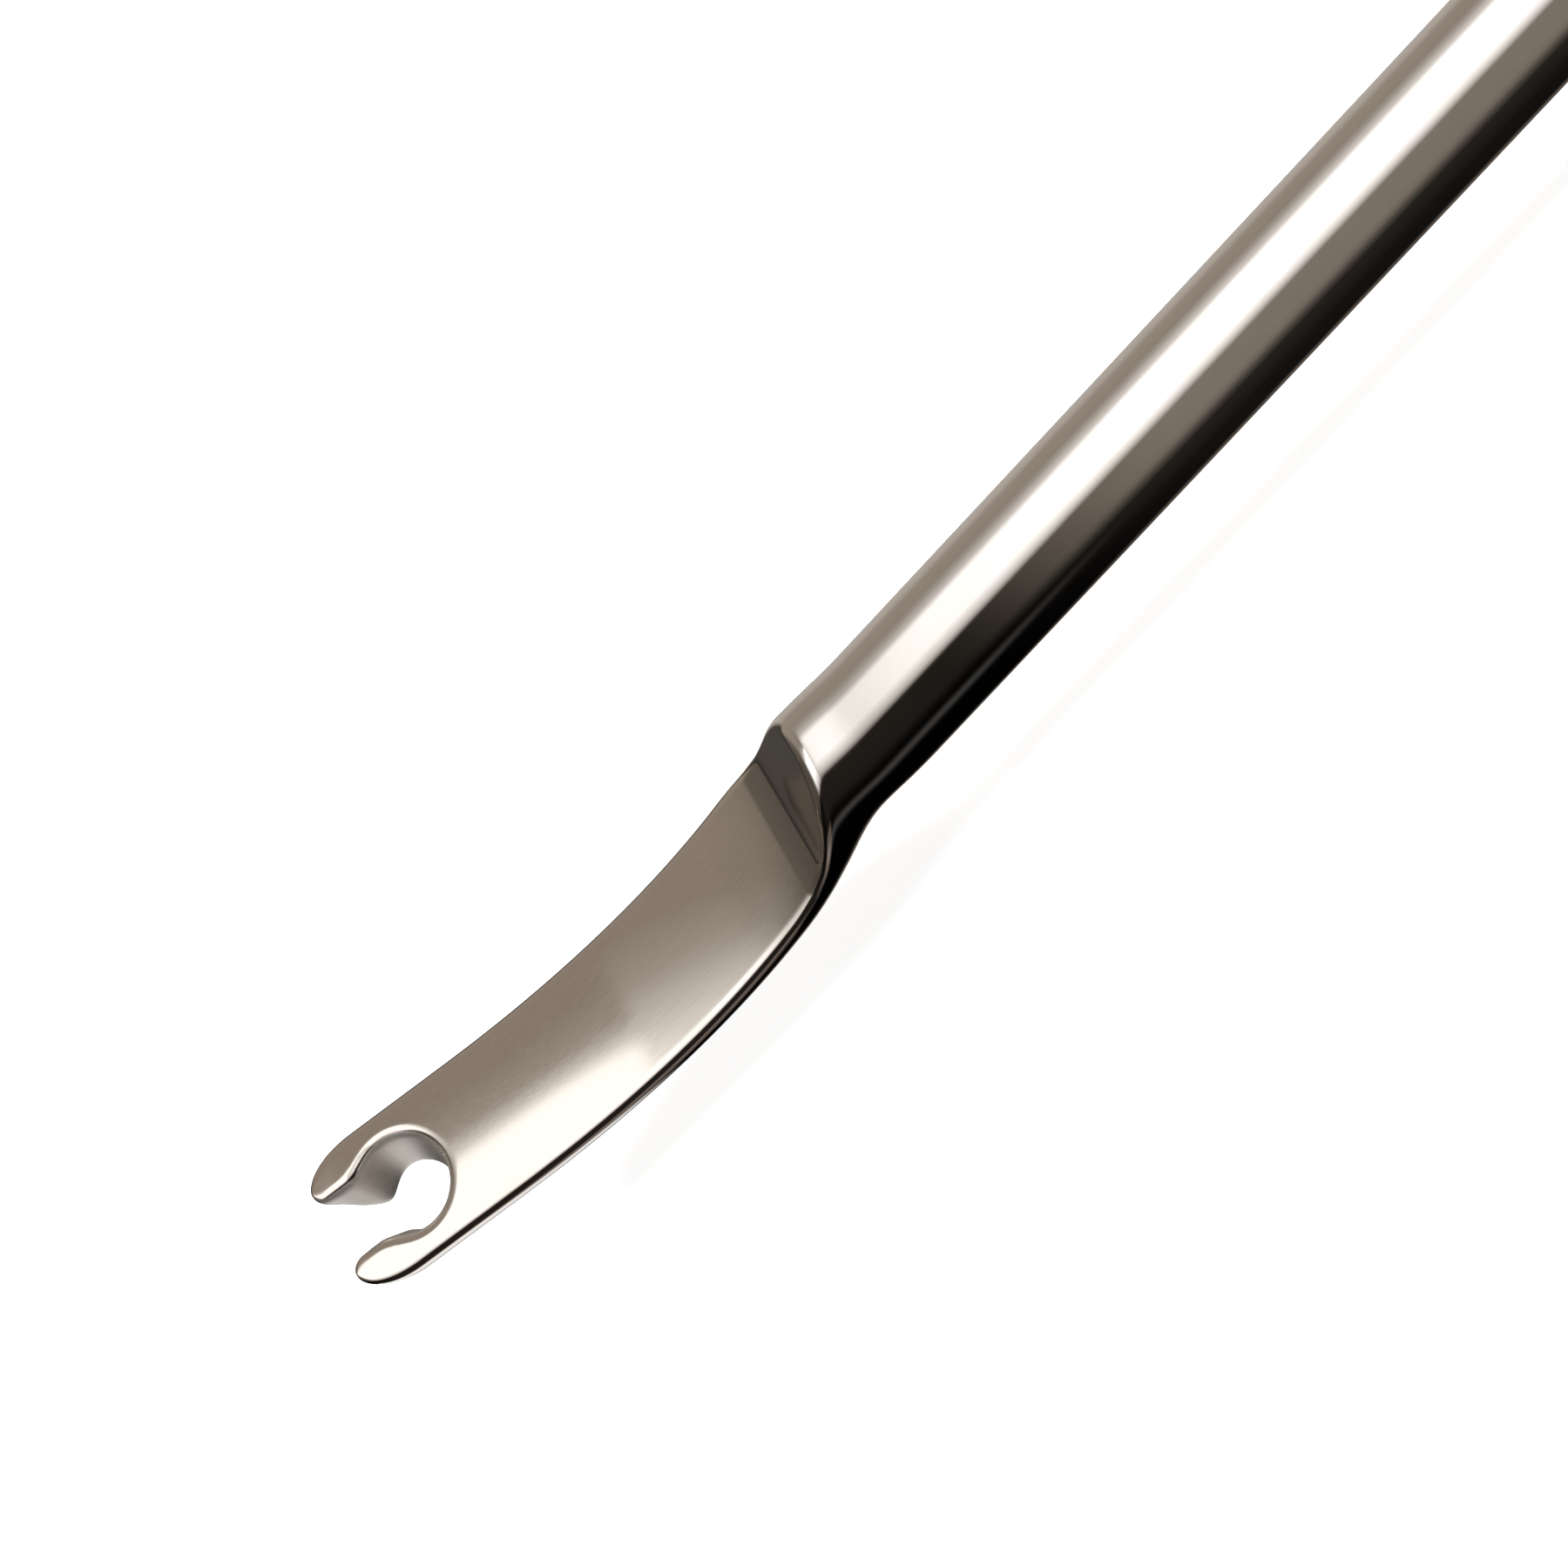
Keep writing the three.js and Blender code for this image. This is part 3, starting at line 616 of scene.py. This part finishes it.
def polished_stainless():
    """Stainless bar, mirror polished on a mop, with the tongue's face left satin from the grinding belt.

    The polish leaves faint hazy patches and hairlines; the satin face has fine lines along the tongue."""
    material, tree, shader, place = start_material("polished_stainless")
    ground = add(tree, "Attribute", {"attribute_name": "ground"}).outputs["Fac"]
    lines = stretched_noise(tree, place, (3.0, 0.09, 0.09), detail=4)
    haze = stretched_noise(tree, place, (1.4, 1.0, 1.0), detail=4)
    mop = between(tree, haze, 0.03, 0.08)
    belt = between(tree, lines, 0.07, 0.11)
    milled = add(tree, "Math", {"operation": "MULTIPLY", 1: -1.0, "use_clamp": True}, i0=ground).outputs[0]
    bright = add(tree, "Mix", {"data_type": "FLOAT"}, i0=ground, i2=mop, i3=belt).outputs[0]
    rough = add(tree, "Mix", {"data_type": "FLOAT", 3: 0.5}, i0=milled, i2=bright).outputs[0]
    steel = colour_between(tree, haze, "#e6e1db", "#f0ece7")
    satin = colour_between(tree, lines, "#e2dad1", "#eee7df")
    colour = add(tree, "Mix", {"data_type": "RGBA"}, i0=ground, i6=steel, i7=satin).outputs[2]
    shader.inputs["Metallic"].default_value = 1.0
    wire(tree, shader, Base_Color=colour, Roughness=rough, Normal=bump(tree, lines, 0.02, 0.01))
    return material


def turned_stainless():
    """Stainless turned on a lathe: fine rings round the axis, with faint patches of lighter and darker
    tone.
    """
    material, tree, shader, place = start_material("turned_stainless")
    rings = stretched_noise(tree, place, (0.1, 40.0, 40.0), detail=3)
    haze = stretched_noise(tree, place, (2.0, 2.0, 2.0), detail=3)
    shader.inputs["Metallic"].default_value = 1.0
    wire(tree, shader, Base_Color=colour_between(tree, haze, "#c6c2bd", "#d6d3cf"),
         Roughness=between(tree, rings, 0.2, 0.34), Normal=bump(tree, rings, 0.25, 0.02))
    return material


def anodised_aluminium():
    """Aluminium, bead blasted and anodised black: a fine even grain, rubbed lighter on its edges."""
    material, tree, shader, place = start_material("anodised_aluminium")
    grain = stretched_noise(tree, place, (0.12, 0.12, 0.12), detail=2)
    wear = stretched_noise(tree, place, (1.5, 1.5, 1.5), detail=5)
    edge = add(tree, "NewGeometry").outputs["Pointiness"]
    rubbed = add(tree, "Math", {"operation": "MULTIPLY"}, i0=between(tree, edge, 0, 1, 0.53, 0.6),
                 i1=between(tree, wear, 0, 1, 0.45, 0.7)).outputs[0]
    base = colour_between(tree, grain, "#26282b", "#303236")
    blend = add(tree, "Mix", {"data_type": "RGBA"}, i0=rubbed, i6=base)
    blend.inputs[7].default_value = linear("#8d8f92")
    shader.inputs["Metallic"].default_value = 0.85
    wire(tree, shader, Base_Color=blend.outputs[2], Roughness=between(tree, grain, 0.36, 0.5),
         Normal=bump(tree, grain, 0.3, 0.02))
    return material


def rubber(name, dark, light, low_rough, high_rough):
    """Moulded rubber: matt, with a fine stipple from the mould and a dusty bloom in patches."""
    material, tree, shader, place = start_material(name)
    stipple = stretched_noise(tree, place, (0.15, 0.15, 0.15), detail=2)
    bloom = stretched_noise(tree, place, (2.5, 2.5, 2.5), detail=4)
    shader.inputs["Specular IOR Level"].default_value = 0.35
    wire(tree, shader, Base_Color=colour_between(tree, bloom, dark, light),
         Roughness=between(tree, bloom, low_rough, high_rough), Normal=bump(tree, stipple, 0.4, 0.03))
    return material


def plain_metal(name, dark, light, low_rough, high_rough):
    """A small inner piece with the lathe's or grinder's rings round the axis.

    Brass is left as turned, the hardened ring is ground after heat treatment, and the stop screw is
    blackened in a hot oxide bath."""
    material, tree, shader, place = start_material(name)
    rings = stretched_noise(tree, place, (0.15, 30.0, 30.0), detail=2)
    stain = stretched_noise(tree, place, (1.2, 1.2, 1.2), detail=4)
    shader.inputs["Metallic"].default_value = 1.0
    wire(tree, shader, Base_Color=colour_between(tree, stain, dark, light),
         Roughness=between(tree, rings, low_rough, high_rough), Normal=bump(tree, rings, 0.2, 0.02))
    return material


def dress_node(node, material):
    """Gives a CAD node that stays its finished material."""
    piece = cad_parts[node]
    piece.data.materials.clear()
    piece.data.materials.append(material)


# ---- studio ----
def floor():
    """A wide light table under the tool, pale and glowing, that the polished steel doesn't mirror."""
    mesh = bpy.data.meshes.new("floor")
    side = 3.0
    corners = [(-side, -side, 0), (side, -side, 0), (side, side, 0), (-side, side, 0)]
    mesh.from_pydata(corners, [], [(0, 1, 2, 3)])
    sheet = bpy.data.objects.new("floor", mesh)
    bpy.context.scene.collection.objects.link(sheet)
    material = bpy.data.materials.new("pale_floor")
    material.use_nodes = True
    shader = material.node_tree.nodes["Principled BSDF"]
    shader.inputs["Base Color"].default_value = linear("#f4f4f4")
    shader.inputs["Emission Color"].default_value = linear("#ffffff")
    shader.inputs["Emission Strength"].default_value = 0.9
    shader.inputs["Roughness"].default_value = 0.9
    shader.inputs["Specular IOR Level"].default_value = 0.0
    mesh.materials.append(material)
    sheet.visible_glossy = False


TENT_R = 25.0
TENT_REACH = (-250.0, 250.0)
PANEL_LIGHT = 1.6
FELT_SHARE = 0.93
# The cloth's colour round the axis, by angle.
BASE_BANDS = [(-180, "#5a534c"), (-150, "#8c837a"), (-128, "#b9b2ac"), (-102, "#b4aca4"), (-86, "#9c9187"),
              (-60, "#978d83"), (36, "#867d73"), (70, "#847b72"), (78, "#7a7169"), (88, "#4c4843"),
              (96, "#282522"), (130, "#171514"), (165, "#141212"), (180, "#5a534c")]
# How much of the panel's light there is: angles, then shares. Three stretches have their own -Y edge.
ROD_EDGE = ([-60, -50, -38, -28], [0, 0.1, 0.35, 1])
FORK_EDGE = ([-31, -24, -20.7, -18.3], [0, 0.08, 0.4, 1])
HOLLOW_EDGE = ([-36, -28, -21, -17, -11], [0, 0.1, 0.36, 0.55, 1])
FAR_EDGE = ([14, 28, 37], [1, 0.45, 0])
# The same along the tool: places in millimetres, then shares.
PANEL_ALONG = ([58, 70, 74, 75.2, 76.2], [1, 0.68, 0.45, 0.38, 0.85])
FORK_STARTS = (75.2, 76.2)
HOLLOW_STARTS = (82, 82.8)


def tent_light(angle, x):
    """Light on the tent's wall: round the tool's axis (degrees from straight up, towards +Y) and along it.

    Grey cloth all round, black felt low on the +Y side, and the lamp's white panel overhead. The panel's
    -Y edge is soft over the rod, crisp over the fork, and stands further over past the tongue's hollow.
    The cloth darkens ahead of the tool and low on the -Y side, is brown beside the tongue, and is lit
    from below under the tip."""
    places = [band[0] for band in BASE_BANDS]
    colours = np.array([linear(band[1])[:3] for band in BASE_BANDS])
    base = np.stack([np.interp(angle, places, colours[:, channel]) for channel in range(3)], axis=-1)
    felt = smooth(28, 40, angle) * smooth(56, 69, x)
    base = base * (1 - FELT_SHARE * felt)[..., None]
    panel = mix(np.interp(angle, *ROD_EDGE), np.interp(angle, *FORK_EDGE), smooth(*FORK_STARTS, x))
    hollow = np.interp(angle, *HOLLOW_EDGE) * smooth(108, 92, x)
    panel = mix(panel, hollow, smooth(*HOLLOW_STARTS, x))
    panel = panel * np.interp(angle, *FAR_EDGE) * np.interp(x, *PANEL_ALONG)
    light = base + panel[..., None] * (PANEL_LIGHT - base)
    overhead = 1 - smooth(90, 110, np.abs(angle))
    ahead = mix(1, 0.42, smooth(90, 104, x)) * mix(1, 0.75, smooth(104, 125, x))
    light = light * mix(1, ahead, overhead)[..., None]
    light = light * (1 - 0.85 * smooth(-85, -95, angle) * smooth(80, 87, x))[..., None]
    flank = smooth(80, 85, x) * smooth(122, 96, x) * smooth(84, 94, angle) * smooth(150, 130, angle)
    light = mix(light, linear("#6f645c")[:3], (0.8 * flank)[..., None])
    seam = 0.05 * np.exp(-((angle - 108) / 6) ** 2) * smooth(60, 72, x)
    under_tip = 0.9 * smooth(98, 110, angle) * smooth(88, 92, x) * (x < 130)
    return light + (seam + under_tip)[..., None]


def light_tent():
    """A narrow round tent of cloth about the tool, seen only in the polished metal.

    Its grid is x along the axis and an angle about it; each corner carries the light of its place."""
    x = np.unique(np.concatenate([np.linspace(*TENT_REACH, 60), np.arange(20.0, 125.0, 0.4)]))
    angle = np.linspace(-180, 180, 481)
    along, turn = np.meshgrid(x, angle, indexing="ij")
    across, up = TENT_R * np.sin(np.radians(turn)), TENT_R * np.cos(np.radians(turn))
    points = np.stack([along, across, up], axis=-1)
    mesh = bpy.data.meshes.new("light_tent")
    axis_point = np.array([0, 0, START[2]])
    mesh.from_pydata(points.reshape(-1, 3) * MM + axis_point, [], quads(len(x), len(angle)))
    light = np.concatenate([tent_light(turn, along), np.ones(turn.shape + (1,))], axis=-1)
    colour = mesh.attributes.new("light", "FLOAT_COLOR", "POINT")
    colour.data.foreach_set("color", light.astype(np.float32).ravel())
    material = bpy.data.materials.new("tent_cloth")
    material.use_nodes = True
    tree = material.node_tree
    tree.nodes.remove(tree.nodes["Principled BSDF"])
    light_of_place = add(tree, "Attribute", {"attribute_name": "light"}).outputs["Color"]
    glow = add(tree, "Emission", None, Color=light_of_place)
    tree.links.new(glow.outputs[0], tree.nodes["Material Output"].inputs["Surface"])
    mesh.materials.append(material)
    tent = bpy.data.objects.new("light_tent", mesh)
    bpy.context.scene.collection.objects.link(tent)
    tent.visible_camera = tent.visible_diffuse = tent.visible_shadow = False
    tent.visible_transmission = tent.visible_volume_scatter = False


def room():
    """A white backdrop to the camera, and a dim warm room to everything else."""
    world = bpy.data.worlds.new("studio")
    bpy.context.scene.world = world
    world.use_nodes = True
    tree = world.node_tree
    seen = add(tree, "LightPath").outputs["Is Camera Ray"]
    lit = tree.nodes["Background"]
    lit.inputs["Color"].default_value = linear("#3a342f")
    backdrop = add(tree, "Background", {"Color": linear("#fefefe")})
    both = add(tree, "MixShader", None, i0=seen, i1=lit.outputs[0], i2=backdrop.outputs[0])
    tree.links.new(both.outputs[0], tree.nodes["World Output"].inputs["Surface"])


def lamp(name, place, size, power):
    """A soft lamp above the table that lights the floor and the dull pieces, aimed at the tool."""
    light = bpy.data.lights.new(name, "AREA")
    light.shape, light.size, light.energy = "DISK", size, power
    holder = bpy.data.objects.new(name, light)
    holder.location = place
    holder.rotation_euler = (Vector((0, 0, 0)) - Vector(place)).to_track_quat("-Z", "Y").to_euler()
    bpy.context.scene.collection.objects.link(holder)
    return holder


VIEW_RIGHT = Vector((-0.5732, 0.4644, -0.6752))
VIEW_DOWN = Vector((0.6123, 0.7903, 0.0238))
VIEW_DISTANCE = 116.43 * ROD_D * MM
VIEW_LENS = 367.5
VIEW_AIM = (-0.3433 * ROD_D * MM, -0.1483 * ROD_D * MM)


def camera():
    """A long lens from behind and above the tool, rolled so that the rod runs to the upper right."""
    right, down = VIEW_RIGHT.normalized(), VIEW_DOWN.normalized()
    ahead = right.cross(down).normalized()
    down = ahead.cross(right)
    aim = Vector(START) + right * VIEW_AIM[0] - down * VIEW_AIM[1]
    place = aim - ahead * VIEW_DISTANCE
    data = bpy.data.cameras.new("camera")
    data.lens, data.sensor_width = VIEW_LENS, 36.0
    data.clip_start, data.clip_end = 0.01, 20.0
    holder = bpy.data.objects.new("camera", data)
    turn = Matrix((right, -down, -ahead)).transposed()
    holder.matrix_world = Matrix.Translation(place) @ turn.to_4x4()
    bpy.context.scene.collection.objects.link(holder)
    bpy.context.scene.camera = holder


camera()
floor()
light_tent()
room()
key = lamp("overhead", (0.05, -0.15, 0.6), 0.5, 5.0)
key.visible_glossy = False
bpy.context.scene.view_settings.view_transform = "Standard"

turned_steel = turned_stainless()
silicone = rubber("silicone_rubber", "#17171a", "#222225", 0.55, 0.7)
nitrile = rubber("nitrile_rubber", "#0f0f10", "#19191a", 0.45, 0.6)
fork_blade(polished_stainless())
chuck_nut(turned_steel)
thrust_ring(plain_metal("hardened_steel", "#8b8c8f", "#a3a3a4", 0.18, 0.3))
barrel(anodised_aluminium())
for node, middle in zip(RING_NODES, RING_PLACES):
    grip_ring(node, middle, silicone)
o_ring("nut_o_ring", "handle", nitrile)
o_ring("plug_o_ring", "plug", nitrile)
end_plug(turned_steel)
dress_node("collet", plain_metal("brass", "#c79d4e", "#e0bd72", 0.2, 0.34))
dress_node("stop_screw", plain_metal("black_oxide_steel", "#1d1d1e", "#2b2a29", 0.4, 0.55))
